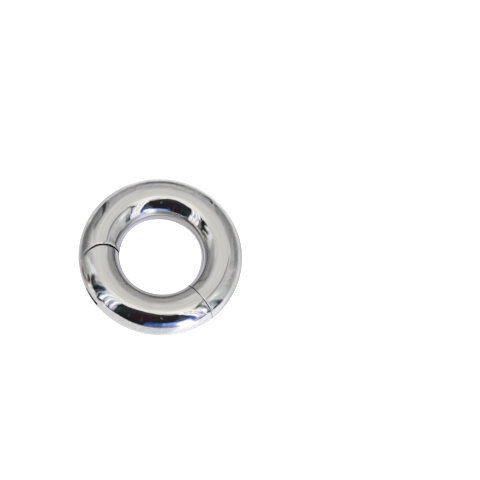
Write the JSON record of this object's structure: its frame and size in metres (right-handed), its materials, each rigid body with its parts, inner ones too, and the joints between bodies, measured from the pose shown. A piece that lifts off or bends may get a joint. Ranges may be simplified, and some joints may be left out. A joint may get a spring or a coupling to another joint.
{
  "type": "seamless hoop earring",
  "caption": "Thick round-bar hoop earring in mirror-polished steel, with a lower segment that swings out on a hidden hinge and closes flush with the ring.",
  "frame": {"origin": "centre of the ring, on the surface that it lies on, so the bar's underside is at z = 0", "axes": "+Z along the ring's axis and up from the surface, +X to the right and +Y towards the top of the picture"},
  "size_m": [0.032, 0.032, 0.008],
  "materials": {
    "mirror_steel": "mirror-polished stainless steel with fine handling marks",
    "pin_steel": "turned stainless steel"
  },
  "bodies": {
    "main": {"main_arc": "mirror_steel"},
    "swing": {"segment": "mirror_steel", "hinge_pin": "pin_steel", "catch_peg": "pin_steel"}
  },
  "joints": [
    {"name": "segment_hinge", "type": "hinge", "parent": "main", "child": "swing", "pos_m": [-0.01089, -0.00503, 0.004], "axis": [0, 0, -1], "range_deg": [0, 90]}
  ]
}
